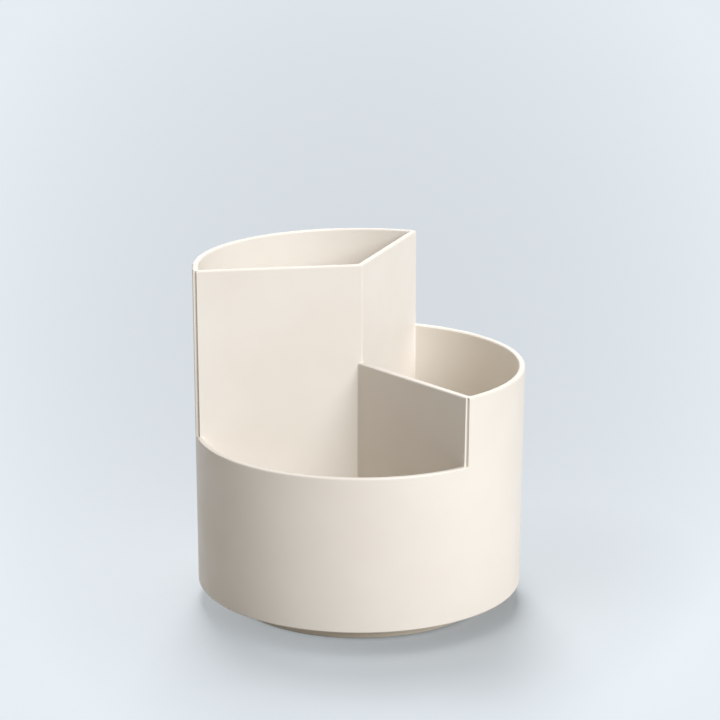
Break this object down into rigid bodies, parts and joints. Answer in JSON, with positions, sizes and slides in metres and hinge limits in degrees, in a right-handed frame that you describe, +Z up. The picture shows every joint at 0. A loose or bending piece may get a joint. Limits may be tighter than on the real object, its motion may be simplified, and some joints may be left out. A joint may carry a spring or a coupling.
{
  "type": "revolving desk organizer",
  "caption": "Round moulded desk organizer with compartments stepped in height round a three-way partition, turning on a low ball-race base.",
  "frame": {"origin": "on the turning axis, level with the undersides of the foot pads", "axes": "+Z up along the turning axis; the low compartment faces -Y, the tall one lies at back left and the medium one at back right"},
  "size_m": [0.1205, 0.1204, 0.126],
  "materials": {
    "tub_plastic": "satin cream moulded plastic",
    "base_plastic": "satin taupe moulded plastic",
    "race_steel": "zinc-plated pressed steel",
    "screw_steel": "zinc-plated",
    "ball_steel": "polished",
    "retainer_nylon": "natural nylon",
    "bush_acetal": "natural acetal",
    "pad_rubber": "matt"
  },
  "bodies": {
    "base": {"turntable_base": "base_plastic", "foot_pad_1": "pad_rubber", "foot_pad_2": "pad_rubber", "foot_pad_3": "pad_rubber", "foot_pad_4": "pad_rubber"},
    "tub": {"organizer_tub": "tub_plastic", "race_plate": "race_steel", "race_screws": "screw_steel", "pivot_bush": "bush_acetal", "pivot_screw": "screw_steel"},
    "retainer": {"ball_retainer": "retainer_nylon", "ball_01": "ball_steel", "ball_02": "ball_steel", "ball_03": "ball_steel", "ball_04": "ball_steel", "ball_05": "ball_steel", "ball_06": "ball_steel", "ball_07": "ball_steel", "ball_08": "ball_steel", "ball_09": "ball_steel", "ball_10": "ball_steel", "ball_11": "ball_steel", "ball_12": "ball_steel"}
  },
  "joints": [
    {"name": "tub_spin", "type": "hinge", "parent": "base", "child": "tub", "pos_m": [0, 0, 0.0074], "axis": [0, 0, 1], "continuous": true},
    {"name": "retainer_spin", "type": "hinge", "parent": "base", "child": "retainer", "pos_m": [0, 0, 0.0044], "axis": [0, 0, 1], "continuous": true}
  ],
  "couplings": [
    {"joint": "retainer_spin", "follows": "tub_spin", "ratio": 0.5}
  ]
}
